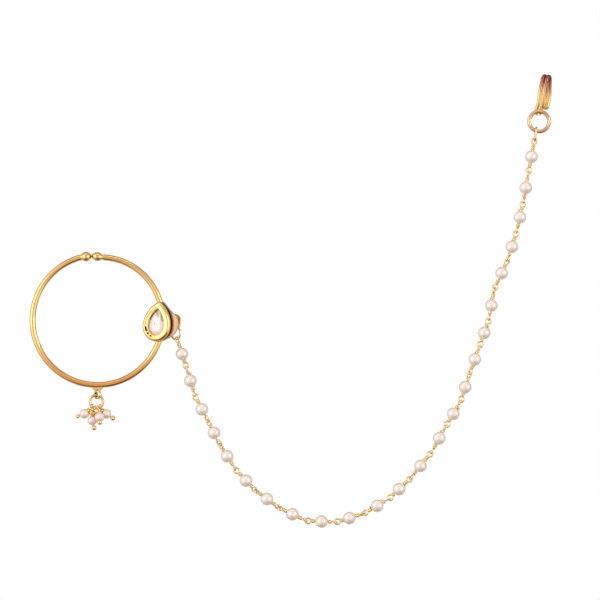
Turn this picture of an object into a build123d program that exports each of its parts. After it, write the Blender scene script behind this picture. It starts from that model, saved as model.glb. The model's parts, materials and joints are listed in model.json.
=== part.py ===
from build123d import *
import os
from math import acos, atan2, cos, degrees, radians, sin, sqrt

os.makedirs("parts", exist_ok=True)

# A nath: a nose hoop with a pearl charm under it, and a pearl chain from the hoop's setting to a hair hook.
# Millimetres. The origin is the gap between the hoop's two ball tips, where the hoop grips the nostril.
# X runs from the hoop to the hair hook, Z is up, and the jewel's front faces -Y.

# ---- Driving dimensions ---------------------------------------------------------------------------------

gap = 0.08                  # running gap between wires that hang in each other

# Hoop
hoop_x = 1.83               # centre of the hoop
hoop_z = -19.83
hoop_radius = 20.12         # middle line of the hoop's wire
hoop_wire = 1.88
bent_radius = 19.05         # the hoop's right shoulder is bent in a little
bent_from = 22              # degrees from +X where that bend starts
tip_length = 3.6            # from the gap to each wire end, along X
tip_gap = 0.16              # the hair's breadth between the two noses
tip_flat = 0.2              # radius of the small flat where they meet

# Teardrop setting
tear_radius = 4.65          # half its width, and the radius of its round end
side_radius = 9.1           # radius of the two sides that run to the tip
setting_turn = 22           # the setting faces this far to the left
setting_lean = 9            # its tip leans this far to the right
setting_x = 21.05
setting_y = -0.5
setting_z = -21.8
plate_overhang = 0.1
plate_shift = 0.9           # the plate sits off the frame's middle, to the right
plate_swing = 6             # and leans less to the right, by this angle
plate_thick = 0.6
core_inset = 0.6
core_thick = 1.3
frame_thick = 1.4
frame_border = 2.05         # width of the frame, from its outer edge to the stone's window
stone_gap = 0.06
stone_girdle = 0.5
stone_crown = 0.4

# Side eyelet and its jump ring
side_eye_x = 26.07
side_eye_y = -0.1
side_eye_z = -20.29
side_eye_turn = 55          # its hole faces this far to the right
side_eye_radius = 2.36
side_eye_wall = 0.55
side_eye_depth = 1.2
side_ring_radius = 2.1
side_ring_turn = 42         # its plane stands this far from the front plane's square
side_ring_wire = 0.65
side_hang_angle = -70       # where the chain hangs on the ring
ring_cut = 2                # the open seam of a jump ring, in degrees

# Charm hanger under the hoop
base_top_width = 4.3
base_foot_width = 1.9
base_drop = 2.1
charm_eye_radius = 1.15
charm_eye_wire = 0.6
charm_eye_drop = 2.76       # from the hoop's middle line to the middle of the eyelet
charm_eye_turn = 47
charm_ring_radius = 2.02
charm_ring_swing = 0.34     # the ring hangs this far to the left of its eyelet
charm_ring_wire = 0.72
charm_pearl_radius = 1.5
charm_pin_wire = 0.45
charm_shank_radius = 0.2
charm_loop_radius = 0.8
charm_pearl_bore = 0.32     # radius of the hole
charm_wrap_radius = 0.45    # the pin's end, wrapped round its neck

# Chain
pearl_radius = 2.0
pearl_bore = 0.4            # radius of the hole
pin_wire = 0.55
shank_radius = 0.25         # the straight part of the wire is drawn a little thinner
eye_length = 1.75           # length and width of an eye, on the wire's middle line
eye_width = 1.6
collar_radius = 0.5         # the wire's end, wrapped beside the pearl
collar_length = 0.45
first_reach = 5.45          # from the first pearl's middle to the far end of its near eye
last_reach = 5.7            # from the last pearl's middle to the far end of its far eye
chain_pull = 2.86           # pull along the chain, in pearl weights
lowest_pearl = 9.24         # where along the chain its lowest point lies

# Each pearl: the distance to the next one, the degrees that its pin stands off the hanging line, and the
# turn of its far eye about its pin. The next pearl's near eye stands square to that eye.
chain_rows = [
    # pitch, lean, turn
    (8.7, -1, 0),
    (9.6, -5, 90),
    (8.2, 3, 50),
    (8.3, -2, 35),
    (9.6, -2, 90),
    (8.7, 2, 30),
    (9.2, 2, 40),
    (9.5, -2, 90),
    (8.8, 2, 90),
    (9.5, 2, 60),
    (8.6, -1, 80),
    (9.8, 0, 15),
    (10.4, -2, 5),
    (8.7, 2, 90),
    (9.1, -4, 90),
    (9.1, 5, 40),
    (8.7, 0, 90),
    (8.8, -1, 0),
    (10.6, 6, 65),
    (8.8, -10, 25),
    (9.5, -4, 0),
    (9.3, 0, 0),
    (9.8, 2, 75),
    (0, 0, 0),
]
pins_per_node = 4

# End link, end ring and hair hook
link_wire = 0.7
link_length = 4.12          # on the wire's middle line
link_width = 2.2
link_angle = 83             # the link's lean, in degrees from +X
end_ring_radius = 3.1
end_ring_wire = 1.2
end_hang_angle = 251        # where the link hangs on the end ring
end_ring_cut = 1.5          # its open seam, in degrees
hook_angle = 82             # where the hook stands on the end ring
foot_angles = (106, 80)     # where its two feet curl round the ring
hook_wire = 0.95
hook_pitch = 1.35           # between the two wires of the doubled hook
hook_turn = 27              # the hook is seen nearly edge-on, turned this far
hook_lean = 9.2
hook_top_radius = 1.3
hook_drift = -0.1           # how far the front leg leans forward at its top
hook_shoulder = 11.1        # from the middle of the curls to the top of the hook's middle line
curl_radius = 1.22          # of the curl's middle line
curl_start = -112           # the hook's feet curl round the end ring's wire, from below it
curl_end = 30

# Charm drops: where the loop sits on the ring, the pearl's middle and the ball's direction from it.
charm_rows = [
    # ring angle, pearl x, y, z, ball dx, dy, dz, ball radius
    (225, -2.28, 0.0, -48.86, -0.93, 0.0, -0.376, 0.66),
    (253, 0.2, 0.4, -50.98, 0.214, 0.0, -0.977, 0.8),
    (284, 2.5, -1.7, -49.85, 0.1, -0.73, -0.674, 0.8),
    (310, 4.59, 0.5, -48.95, 0.83, 0.1, -0.555, 0.8),
]

# ---- Shared directions and shapes -----------------------------------------------------------------------

front = Vector(0, -1, 0)
up = Vector(0, 0, 1)


def in_front_plane(angle):
    """The direction at an angle from +X in the plane that faces the front."""
    return Vector(cos(radians(angle)), 0, sin(radians(angle)))


def flat_turned(angle):
    """The level direction that looks to the front, turned by an angle to the right."""
    return Vector(sin(radians(angle)), -cos(radians(angle)), 0)


def add_ring(centre, start, normal, radius, wire, opening=0):
    """A round wire bent to a ring; its ends leave an opening, in degrees, that begins at start."""
    along = normal.cross(start)
    with BuildSketch(Plane(origin=centre + start * radius, x_dir=start, z_dir=along)) as section:
        Circle(wire / 2)
    revolve(section.sketch, axis=Axis(centre, normal), revolution_arc=360 - opening)


def add_oval(start, outward, normal, length, width, wire):
    """A wire bent to an oval; its middle line starts at start and reaches length outward."""
    bend = width / 2
    with BuildLine(Plane(origin=start, x_dir=outward, z_dir=normal)) as oval:
        Line((bend, bend), (length - bend, bend))
        CenterArc((length - bend, 0), bend, 90, -180)
        Line((length - bend, -bend), (bend, -bend))
        CenterArc((bend, 0), bend, -90, -180)
    with BuildSketch(Plane(origin=oval.line @ 0, z_dir=oval.line % 0)) as section:
        Circle(wire / 2)
    sweep(section.sketch, path=oval.line)


def add_rod(start, end, radius):
    """A straight round wire."""
    way = end - start
    with BuildSketch(Plane(origin=start, z_dir=way)) as section:
        Circle(radius)
    extrude(section.sketch, amount=way.length)


def add_pearl(centre, along, radius, bore):
    """A ball with a hole through it along its thread."""
    reach = sqrt(radius**2 - bore**2)
    rim = degrees(atan2(bore, reach))
    with BuildSketch(Plane(origin=centre, x_dir=along, z_dir=along.cross(up + front))) as half:
        with BuildLine():
            CenterArc((0, 0), radius, rim, 180 - 2 * rim)
            Line((-reach, bore), (reach, bore))
        make_face()
    revolve(half.sketch, axis=Axis(centre, along))


def teardrop(inset):
    """The setting's outline, drawn in by inset: a round end and two sides that meet at the tip."""
    reach = side_radius - tear_radius
    side = side_radius - inset
    swing = degrees(acos(reach / side))
    with BuildLine() as outline:
        CenterArc((0, 0), tear_radius - inset, 180, 180)
        CenterArc((-reach, 0), side, 0, swing)
        CenterArc((reach, 0), side, 180 - swing, swing)
    make_face(outline.edges())


# ---- Hoop, setting and eyelets: one soldered piece ------------------------------------------------------

hoop_centre = Vector(hoop_x, 0, hoop_z)
hoop_foot = hoop_centre - hoop_radius * up
bent_centre = hoop_centre + (hoop_radius - bent_radius) * in_front_plane(bent_from)

setting_front = flat_turned(-setting_turn)
setting_across = flat_turned(90 - setting_turn) * cos(radians(setting_lean)) - up * sin(radians(setting_lean))
setting_back = Vector(setting_x, setting_y, setting_z)


def setting_plane(height, shift=0, swing=0):
    """The plane of the setting at a height above its back, moved to the right and swung to the left."""
    origin = setting_back + setting_front * height + setting_across * shift
    rise = setting_front.cross(setting_across)
    across = setting_across * cos(radians(swing)) + rise * sin(radians(swing))
    return Plane(origin=origin, x_dir=across, z_dir=setting_front)


core_top = plate_thick + core_thick
side_eye_centre = Vector(side_eye_x, side_eye_y, side_eye_z)
side_eye_axis = flat_turned(side_eye_turn)
side_eye_across = side_eye_axis.cross(up)
charm_eye_centre = hoop_foot - up * charm_eye_drop

# Ball tips: distance from the nose, and radius
left_tip_rows = [(0.4, 0.66), (0.95, 1.2), (1.67, 1.42), (2.4, 1.3), (2.9, 1.06), (3.4, 0.8)]
right_tip_rows = [(0.46, 0.74), (0.96, 1.16), (1.74, 1.3), (2.46, 1.27), (2.95, 1.02), (3.3, 0.74), (3.6, 0.68)]


def wire_end(centre, radius, across):
    """The angle at which the hoop's line, an arc about centre, stands a distance across from the gap."""
    return degrees(acos((across - centre.X) / radius))


def add_tip(side, wire_start, rows):
    """A ball tip turned about the line from its nose at the gap to the start of the wire."""
    nose = Vector(side * tip_gap / 2, 0, 0)
    inwards = (wire_start - nose).normalized()
    reach = (wire_start - nose).length
    with BuildSketch(Plane(origin=nose, x_dir=inwards, z_dir=front * -side)) as profile:
        with BuildLine():
            outline = Spline((0, tip_flat), *rows, (reach + 0.1, rows[-1][1]), tangents=[(0, 1), (1, 0)])
            Polyline(outline @ 1, (reach + 0.1, 0), (0, 0), outline @ 0)
        make_face()
    revolve(profile.sketch, axis=Axis(nose, inwards))


with BuildPart() as hoop:
    # Round wire, from one ball tip to the other the long way round
    left_angle = wire_end(hoop_centre, hoop_radius, -tip_length)
    right_angle = wire_end(bent_centre, bent_radius, tip_length)
    with BuildLine() as round_line:
        for centre, radius, start, end in (
            (bent_centre, bent_radius, right_angle, bent_from),
            (hoop_centre, hoop_radius, bent_from, left_angle - 360),
        ):
            ThreePointArc(*[centre + radius * in_front_plane(angle) for angle in (start, (start + end) / 2, end)])
    wire_line = round_line.wire()
    with BuildSketch(Plane(origin=wire_line @ 0, z_dir=wire_line % 0)):
        Circle(hoop_wire / 2)
    sweep(path=wire_line)
    add_tip(-1, hoop_centre + hoop_radius * in_front_plane(left_angle), left_tip_rows)
    add_tip(1, bent_centre + bent_radius * in_front_plane(right_angle), right_tip_rows)

    # Teardrop setting: back plate, recessed core and raised frame with the stone's window
    with BuildSketch(setting_plane(0, plate_shift, plate_swing)):
        teardrop(-plate_overhang)
    extrude(amount=plate_thick)
    with BuildSketch(setting_plane(plate_thick)):
        teardrop(core_inset)
    extrude(amount=core_thick)
    with BuildSketch(setting_plane(core_top)):
        teardrop(0)
    extrude(amount=frame_thick, taper=12)
    with BuildSketch(setting_plane(core_top)):
        teardrop(frame_border)
    extrude(amount=frame_thick, taper=-25, mode=Mode.SUBTRACT)

    # Side eyelet: a short band soldered to the back plate, turned to the right
    with BuildSketch(Plane(origin=side_eye_centre, x_dir=side_eye_across, z_dir=up)):
        with Locations((side_eye_radius - side_eye_wall / 2, 0)):
            RectangleRounded(side_eye_wall, side_eye_depth, 0.25)
    revolve(axis=Axis(side_eye_centre, side_eye_axis))

    # Solder base under the hoop, and its eyelet
    with BuildSketch(Plane(origin=hoop_foot - up * 0.1, x_dir=(1, 0, 0), z_dir=-up)) as base_top:
        RectangleRounded(base_top_width, 1.3, 0.4)
    with BuildSketch(Plane(origin=hoop_foot - up * base_drop, x_dir=(1, 0, 0), z_dir=-up)) as base_foot:
        RectangleRounded(base_foot_width, 0.8, 0.3)
    loft()
    add_ring(charm_eye_centre, up, flat_turned(-charm_eye_turn), charm_eye_radius, charm_eye_wire)


# ---- Stone ----------------------------------------------------------------------------------------------

with BuildPart() as stone:
    with BuildSketch(setting_plane(core_top + stone_gap)):
        teardrop(frame_border + stone_gap)
    extrude(amount=stone_girdle)
    with BuildSketch(setting_plane(core_top + stone_gap + stone_girdle)):
        teardrop(frame_border + stone_gap)
    extrude(amount=stone_crown, taper=45)

# ---- Jump rings -----------------------------------------------------------------------------------------

side_ring_top = side_eye_centre - up * (side_eye_radius - side_eye_wall - side_ring_wire / 2 - gap)
side_ring_centre = side_ring_top - up * side_ring_radius
side_ring_out = flat_turned(side_ring_turn)
side_hang_way = side_ring_out * cos(radians(side_hang_angle)) + up * sin(radians(side_hang_angle))
side_hang_point = side_ring_centre + side_hang_way * side_ring_radius
side_ring_face = side_ring_out.cross(up)

with BuildPart() as side_jump_ring:
    add_ring(side_ring_centre, -side_ring_out, side_ring_face, side_ring_radius, side_ring_wire, ring_cut)

charm_ring_top = charm_eye_centre - up * (charm_eye_radius - (charm_eye_wire + charm_ring_wire) / 2 - gap)
charm_ring_centre = charm_ring_top - up * charm_ring_radius - Vector(charm_ring_swing, 0, 0)

with BuildPart() as charm_jump_ring:
    add_ring(charm_ring_centre, in_front_plane(150), front, charm_ring_radius, charm_ring_wire, ring_cut)

# ---- Charm: four pearls on ball-ended head pins ---------------------------------------------------------


def add_head_pin(ring_angle, middle, to_ball, ball_radius):
    """A head pin: its ball, its rod through the pearl, the wrapped neck and the loop on the ring."""
    loop_middle = charm_ring_centre + in_front_plane(ring_angle) * charm_ring_radius
    ball_middle = middle + to_ball * (charm_pearl_radius + ball_radius + gap / 2)
    bend = middle - to_ball * (charm_pearl_radius + 0.1)
    neck = (loop_middle - bend).normalized()
    ring_way = in_front_plane(ring_angle + 90)
    loop_face = (ring_way - neck * ring_way.dot(neck)).normalized()
    loop_start = loop_middle - neck * charm_loop_radius
    add_rod(ball_middle, bend, charm_shank_radius)
    for joint, radius in ((ball_middle, ball_radius), (bend, charm_shank_radius)):
        with Locations(joint):
            Sphere(radius)
    add_rod(bend, loop_start, charm_shank_radius)
    add_rod(bend + neck * 0.25, loop_start - neck * 0.15, charm_wrap_radius)
    add_ring(loop_middle, -neck, loop_face, charm_loop_radius, charm_pin_wire)


for number, (ring_angle, x, y, z, ball_x, ball_y, ball_z, ball_radius) in enumerate(charm_rows, start=1):
    middle = Vector(x, y, z)
    to_ball = Vector(ball_x, ball_y, ball_z).normalized()
    with BuildPart() as charm_pearl:
        add_pearl(middle, to_ball, charm_pearl_radius, charm_pearl_bore)
    with BuildPart() as charm_pin:
        add_head_pin(ring_angle, middle, to_ball, ball_radius)
    for name, piece in ((f"charm_pearl_{number}", charm_pearl), (f"charm_pin_{number}", charm_pin)):
        piece.part.label = name
        export_step(piece.part, f"parts/{name}.step")

# ---- Chain: pearls on eye pins along the hanging line ---------------------------------------------------


def pin_way(number):
    """The way the pin of a pearl points: the hanging line's slope there, and the pin's own lean."""
    slope = degrees(atan2(number - lowest_pearl, chain_pull))
    return in_front_plane(slope + chain_rows[number - 1][1])


def turned(way, turn):
    """The face of an eye on a pin that points way: 0 faces the front, 90 is edge on."""
    return front * cos(radians(turn)) + way.cross(front) * sin(radians(turn))


def add_eye_pin(middle, way, near_reach, near_face, far_reach, far_face):
    """An eye pin through a pearl: its rod, and at each end a wrapped collar and an oval eye."""
    ends = []
    for outward, reach, face in ((-way, near_reach, near_face), (way, far_reach, far_face)):
        eye_start = middle + outward * (reach - eye_length)
        collar_start = middle + outward * (pearl_radius + gap)
        add_rod(collar_start, collar_start + outward * collar_length, collar_radius)
        add_oval(eye_start, outward, face, eye_length, eye_width, pin_wire)
        ends.append(eye_start)
    add_rod(ends[0], ends[1], shank_radius)


# Where two eyes hang in each other, one wire lies this far inside the other's end
eye_overlap = (pin_wire + 1.5 * gap) / 2

middle = side_hang_point + pin_way(1) * (first_reach - (side_ring_wire + pin_wire) / 2 - gap)
near_reach = first_reach
ring_tangent = side_hang_way.cross(side_ring_face)
near_face = (ring_tangent - pin_way(1) * ring_tangent.dot(pin_way(1))).normalized()
eye_pins = []
for number, (pitch, lean, turn) in enumerate(chain_rows, start=1):
    way = pin_way(number)
    last = number == len(chain_rows)
    far_reach = last_reach if last else pitch / 2 + eye_overlap
    far_face = turned(way, turn)
    with BuildPart() as chain_pearl:
        add_pearl(middle, way, pearl_radius, pearl_bore)
    chain_pearl.part.label = f"chain_pearl_{number:02d}"
    export_step(chain_pearl.part, f"parts/chain_pearl_{number:02d}.step")
    eye_pins.append((middle, way, near_reach, near_face, far_reach, far_face))
    if not last:
        next_way = pin_way(number + 1)
        middle = middle + (way + next_way) * (pitch / 2)
        near_reach = far_reach
        near_face = far_face.cross(next_way).normalized()

for group in range(len(eye_pins) // pins_per_node):
    with BuildPart() as chain_wires:
        for eye_pin in eye_pins[group * pins_per_node:(group + 1) * pins_per_node]:
            add_eye_pin(*eye_pin)
    chain_wires.part.label = f"chain_wires_{group + 1}"
    export_step(chain_wires.part, f"parts/chain_wires_{group + 1}.step")

# ---- End link, end ring and hair hook -------------------------------------------------------------------

link_way = in_front_plane(link_angle)
last_eye_end = middle + way * last_reach
link_start = last_eye_end - link_way * ((pin_wire + link_wire) / 2 + gap)

with BuildPart() as end_link:
    add_oval(link_start, link_way, far_face.cross(link_way), link_length, link_width, link_wire)

end_hang_point = link_start + link_way * (link_length - (link_wire + end_ring_wire) / 2 - gap)
end_ring_centre = end_hang_point - in_front_plane(end_hang_angle) * end_ring_radius

with BuildPart() as end_ring:
    add_ring(end_ring_centre, in_front_plane(225), front, end_ring_radius, end_ring_wire, end_ring_cut)

# The hook lies in its own plane, measured from the middle of its curl: out to its back leg, and up
hook_back = flat_turned(180 - hook_turn)
hook_across = hook_back.cross(in_front_plane(90 - hook_lean)).normalized()
hook_rise = hook_across.cross(hook_back)

hook_base = end_ring_centre + in_front_plane(hook_angle) * end_ring_radius
hook_top = hook_shoulder - hook_top_radius
front_leg_rows = [(0.1, 3.2), (-0.35, 6.0), (hook_drift, hook_top)]
back_leg_rows = [(hook_drift + 2 * hook_top_radius, hook_top), (3.75, 5.2), (3.3, 1.8)]
tip_way = (hook_rise + hook_back * 0.25) * -1


def on_hook(rows, foot, across):
    """Points of the hook's plane, moved to one strand: over its foot below, and side by side above."""
    points = []
    for out, rise in rows:
        share = min(max(rise / hook_top, 0), 1)
        sideways = (foot - hook_base) * (1 - share) + hook_across * across * share
        points.append(hook_base + sideways + hook_back * out + hook_rise * rise)
    return points


def arc_rows(out, rise, radius, angles):
    """Points of an arc in the hook's plane."""
    return [(out + radius * cos(radians(angle)), rise + radius * sin(radians(angle))) for angle in angles]


with BuildPart() as hair_hook:
    tips = []
    for foot_angle, across in zip(foot_angles, (-hook_pitch / 2, hook_pitch / 2)):
        foot_way = in_front_plane(foot_angle)
        foot_middle = end_ring_centre + foot_way * end_ring_radius
        with BuildLine() as leg:
            curl_rows = arc_rows(0, 0, curl_radius, (curl_start, (curl_start + curl_end) / 2, curl_end))
            curl = ThreePointArc(*[foot_middle - front * out + foot_way * rise for out, rise in curl_rows])
            Spline(curl @ 1, *on_hook(front_leg_rows, foot_middle, across), tangents=[curl % 1, hook_rise])
            ThreePointArc(*on_hook(arc_rows(hook_drift + hook_top_radius, hook_top, hook_top_radius,
                                            (180, 90, 0)), foot_middle, across))
            Spline(*on_hook(back_leg_rows, hook_base + hook_across * across, across),
                   tangents=[-hook_rise, tip_way])
        wire = leg.wire()
        with BuildSketch(Plane(origin=wire @ 0, z_dir=wire % 0)) as section:
            Circle(hook_wire / 2)
        sweep(section.sketch, path=wire)
        tips.append(wire @ 1)
    # The doubled wire is one wire, folded round at the tip
    tip_out = tip_way.normalized()
    with BuildSketch(Plane(origin=tips[0], x_dir=hook_across, z_dir=tip_out)) as section:
        Circle(hook_wire / 2)
    revolve(section.sketch, axis=Axis((tips[0] + tips[1]) / 2, tip_out.cross(hook_across)),
            revolution_arc=180)

for name, piece in (
    ("hoop", hoop),
    ("stone", stone),
    ("side_jump_ring", side_jump_ring),
    ("charm_jump_ring", charm_jump_ring),
    ("end_link", end_link),
    ("end_ring", end_ring),
    ("hair_hook", hair_hook),
):
    piece.part.label = name
    export_step(piece.part, f"parts/{name}.step")
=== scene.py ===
import json
from math import acos, atan2, cos, degrees, pi, radians, sin

import bpy
from mathutils import Matrix, Vector

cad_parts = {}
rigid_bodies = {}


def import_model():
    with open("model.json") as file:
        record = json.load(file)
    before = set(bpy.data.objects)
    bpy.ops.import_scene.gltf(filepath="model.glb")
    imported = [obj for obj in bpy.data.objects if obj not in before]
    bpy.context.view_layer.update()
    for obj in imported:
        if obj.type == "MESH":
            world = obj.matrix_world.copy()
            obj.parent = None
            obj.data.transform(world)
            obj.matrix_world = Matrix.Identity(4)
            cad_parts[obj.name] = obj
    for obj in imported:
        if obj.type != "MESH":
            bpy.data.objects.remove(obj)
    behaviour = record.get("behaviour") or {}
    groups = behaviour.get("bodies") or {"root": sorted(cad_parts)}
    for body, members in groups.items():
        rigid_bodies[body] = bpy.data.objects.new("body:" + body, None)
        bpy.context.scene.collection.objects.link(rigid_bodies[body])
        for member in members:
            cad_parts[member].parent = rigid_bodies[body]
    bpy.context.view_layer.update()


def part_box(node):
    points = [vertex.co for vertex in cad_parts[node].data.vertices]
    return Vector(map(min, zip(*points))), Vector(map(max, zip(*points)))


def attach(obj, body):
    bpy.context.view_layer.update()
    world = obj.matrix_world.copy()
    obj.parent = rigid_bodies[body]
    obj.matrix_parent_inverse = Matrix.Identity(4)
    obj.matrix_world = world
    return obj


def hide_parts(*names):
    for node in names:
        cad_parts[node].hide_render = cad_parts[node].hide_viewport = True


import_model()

# A nath: a gold nose hoop with a teardrop stone and a pearl charm, and a pearl chain up to a hair hook.
# Lengths are written in millimetres and turned to metres by MM. X runs along the jewel, Z is up,
# and its front faces -Y.
MM = 0.001
FRONT = Vector((0, -1, 0))
UP = Vector((0, 0, 1))

# ---- Dimensions of the frame that the pieces are made around --------------------------------------------

HOOP_CENTRE = Vector((1.83, 0, -19.83))
HOOP_RADIUS = 20.12
HOOP_WIRE = 1.88
BENT_RADIUS = 19.05
BENT_FROM = 22
TIP_LENGTH = 3.6
NOSE = 0.03

TEAR_RADIUS = 4.65
TEAR_SIDE = 9.1
SETTING_BACK = Vector((21.05, -0.5, -21.8))
SETTING_TURN = 22
SETTING_LEAN = 9
WING_ANGLE, WING_SPREADS, WING_REACH = 22, (80, 52), 1.9

SIDE_EYE = Vector((26.07, -0.1, -20.29))
SIDE_EYE_TURN = 55
SIDE_RING_TURN = 42
CHARM_EYE_TURN = 47

PEARL_RADIUS = 2.0
PIN_WIRE = 0.52
EYE_LENGTH = 1.75
EYE_WIDTH = 1.6
FIRST_REACH = 5.45
LAST_REACH = 5.7
CHAIN_PULL = 2.86
LOWEST_PEARL = 9.24
EYE_OVERLAP = 0.335

# Each chain pearl: distance to the next, lean of its pin off the hanging line, turn of its far eye
CHAIN_ROWS = [
    (8.7, -1, 0), (9.6, -5, 90), (8.2, 3, 50), (8.3, -2, 35), (9.6, -2, 90), (8.7, 2, 30),
    (9.2, 2, 40), (9.5, -2, 90), (8.8, 2, 90), (9.5, 2, 60), (8.6, -1, 80), (9.8, 0, 15),
    (10.4, -2, 5), (8.7, 2, 90), (9.1, -4, 90), (9.1, 5, 40), (8.7, 0, 90), (8.8, -1, 0),
    (10.6, 6, 65), (8.8, -10, 25), (9.5, -4, 0), (9.3, 0, 0), (9.8, 2, 75), (0, 0, 0),
]

# Each charm drop: the angle of its loop on the jump ring, the direction of its ball, the ball's radius and
# how far its coil swells
CHARM_ROWS = [
    (225, (-0.93, 0.0, -0.376), 0.66, 0.4),
    (253, (0.214, 0.0, -0.977), 0.8, 0.62),
    (284, (0.1, -0.73, -0.674), 0.8, 0.34),
    (310, (0.83, 0.1, -0.555), 0.8, 0.34),
]


def in_front_plane(angle):
    """The direction at an angle from +X in the plane that faces the front."""
    return Vector((cos(radians(angle)), 0, sin(radians(angle))))


def flat_turned(angle):
    """The level direction that looks to the front, turned by an angle to the right."""
    return Vector((sin(radians(angle)), -cos(radians(angle)), 0))


# The setting's own axes: its front, its breadth to the right and its rise to the tip
setting_front = flat_turned(-SETTING_TURN)
setting_across = (flat_turned(90 - SETTING_TURN) * cos(radians(SETTING_LEAN))
                  - UP * sin(radians(SETTING_LEAN)))
setting_rise = setting_front.cross(setting_across)


def middle_of(node):
    """The middle of a node's box, in millimetres."""
    low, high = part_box(node)
    return (Vector(low) + Vector(high)) / 2 / MM


# ---- Camera, light and floor ----------------------------------------------------------------------------

scene = bpy.context.scene
scene.view_settings.view_transform = "Standard"

# How far the camera stands from the jewel's plane, and the breadth of the view there, in metres
CAMERA_DISTANCE, VIEW_BREADTH = 1.2, 0.186
camera = bpy.data.objects.new("camera", bpy.data.cameras.new("camera"))
scene.collection.objects.link(camera)
camera.location = (0.0646, -CAMERA_DISTANCE, -0.0136)
camera.rotation_euler = (radians(90), 0, 0)
camera.data.sensor_width = 36
camera.data.lens = camera.data.sensor_width * CAMERA_DISTANCE / VIEW_BREADTH
camera.data.clip_start = 0.01
camera.data.clip_end = 20
scene.camera = camera

WORLD_STRENGTH = 1.06
# Colours of the room from straight below to straight above
ROOM_STOPS = [
    (0.0, (0.09, 0.045, 0.025)),
    (0.08, (0.14, 0.08, 0.045)),
    (0.2, (0.36, 0.27, 0.20)),
    (0.34, (0.74, 0.66, 0.60)),
    (0.5, (0.80, 0.74, 0.70)),
    (0.68, (0.70, 0.64, 0.60)),
    (1.0, (0.50, 0.43, 0.39)),
]
# White boxes by azimuth: a wide one at the left of the viewer, a narrow one at the right
LEFT_BOX = [(0.16, 0), (0.24, 0.7), (0.4, 1), (0.45, 0)]
RIGHT_BOX = [(0.55, 0), (0.59, 1), (0.66, 0.8), (0.71, 0)]
LEFT_REACH = [(0.03, 0.3), (0.12, 0.7), (0.45, 0.9), (0.6, 1), (0.84, 0.9), (0.93, 0.2)]
RIGHT_REACH = [(0.22, 0), (0.32, 1), (0.66, 1), (0.76, 0)]
BOX_WHITE = (0.48, 0.48, 0.46)

world = bpy.data.worlds.new("studio")
scene.world = world
world.use_nodes = True


def link(tree, source, target):
    """Joins two sockets of a node tree."""
    tree.links.new(source, target)


def feed(tree, socket, source):
    """Links a socket to another, or sets it to a number or a colour."""
    if isinstance(source, bpy.types.NodeSocket):
        link(tree, source, socket)
    else:
        socket.default_value = (*source, 1) if isinstance(source, tuple) else source


def add_node(tree, kind, **settings):
    """A shader node with its settings and its unlinked inputs."""
    node = tree.nodes.new(kind)
    for name, value in settings.items():
        if name == "inputs":
            for socket, number in value.items():
                node.inputs[socket].default_value = number
        else:
            setattr(node, name, value)
    return node


def add_math(tree, operation, first, second):
    """A sum of two sockets or numbers."""
    node = add_node(tree, "ShaderNodeMath", operation=operation)
    feed(tree, node.inputs[0], first)
    feed(tree, node.inputs[1], second)
    return node.outputs[0]


def add_mix(tree, kind, factor, first, second):
    """A mix of two colours by a factor; each is a socket or a value."""
    mix = add_node(tree, "ShaderNodeMix", data_type="RGBA", blend_type=kind)
    for socket, source in (("Factor", factor), (6, first), (7, second)):
        feed(tree, mix.inputs[socket], source)
    return mix.outputs[2]


def add_range(tree, source, low, high, to_low=0.0, to_high=1.0, **settings):
    """A value carried over from one span to another, and held at its ends."""
    node = add_node(tree, "ShaderNodeMapRange", **settings)
    for socket, value in (("Value", source), ("From Min", low), ("From Max", high), ("To Min", to_low),
                          ("To Max", to_high)):
        feed(tree, node.inputs[socket], value)
    return node.outputs["Result"]


def add_ramp(tree, source, stops):
    """Colours over a share, from stops of place and colour."""
    ramp = add_node(tree, "ShaderNodeValToRGB")
    while len(ramp.color_ramp.elements) < len(stops):
        ramp.color_ramp.elements.new(0.5)
    for element, (place, colour) in zip(ramp.color_ramp.elements, stops):
        element.position = place
        element.color = (*colour, 1)
    link(tree, source, ramp.inputs["Fac"])
    return ramp.outputs["Color"]


def greys(stops):
    """Stops of grey for a ramp, from places and values."""
    return [(place, (value,) * 3) for place, value in stops]


sky = world.node_tree
sky.nodes.clear()
parts = add_node(sky, "ShaderNodeSeparateXYZ")
link(sky, add_node(sky, "ShaderNodeTexCoord").outputs["Generated"], parts.inputs[0])
# The warm room: dark brown below, cream at eye height, dimmer above
rise_share = add_math(sky, "ADD", add_math(sky, "MULTIPLY", parts.outputs["Z"], 0.5), 0.5)
both = add_ramp(sky, rise_share, ROOM_STOPS)
# Azimuth as a share of a whole turn: 0.5 towards the viewer, less to the left
behind = add_math(sky, "MULTIPLY", parts.outputs["Y"], -1.0)
azimuth = add_math(sky, "ARCTAN2", parts.outputs["X"], behind)
turn_share = add_math(sky, "ADD", add_math(sky, "DIVIDE", azimuth, 2 * pi), 0.5)
for across, reach in ((LEFT_BOX, LEFT_REACH), (RIGHT_BOX, RIGHT_REACH)):
    mask = add_mix(sky, "MULTIPLY", 1, add_ramp(sky, turn_share, greys(across)),
                   add_ramp(sky, rise_share, greys(reach)))
    both = add_mix(sky, "ADD", 1, both, add_mix(sky, "MULTIPLY", 1, mask, BOX_WHITE))
# The viewer stands dark before the jewel, and the room behind it is dim: span of depth, and brightness there
for dimming in ((-0.99, -0.94, 0.8, 1.0), (0.1, 0.6, 1.0, 0.32)):
    both = add_mix(sky, "MULTIPLY", 1, both, add_range(sky, parts.outputs["Y"], *dimming))
lit = add_node(sky, "ShaderNodeBackground", inputs={"Strength": WORLD_STRENGTH})
link(sky, both, lit.inputs["Color"])
paper = add_node(sky, "ShaderNodeBackground", inputs={"Color": (1, 1, 1, 1), "Strength": 1.0})
seen = add_node(sky, "ShaderNodeLightPath").outputs
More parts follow.
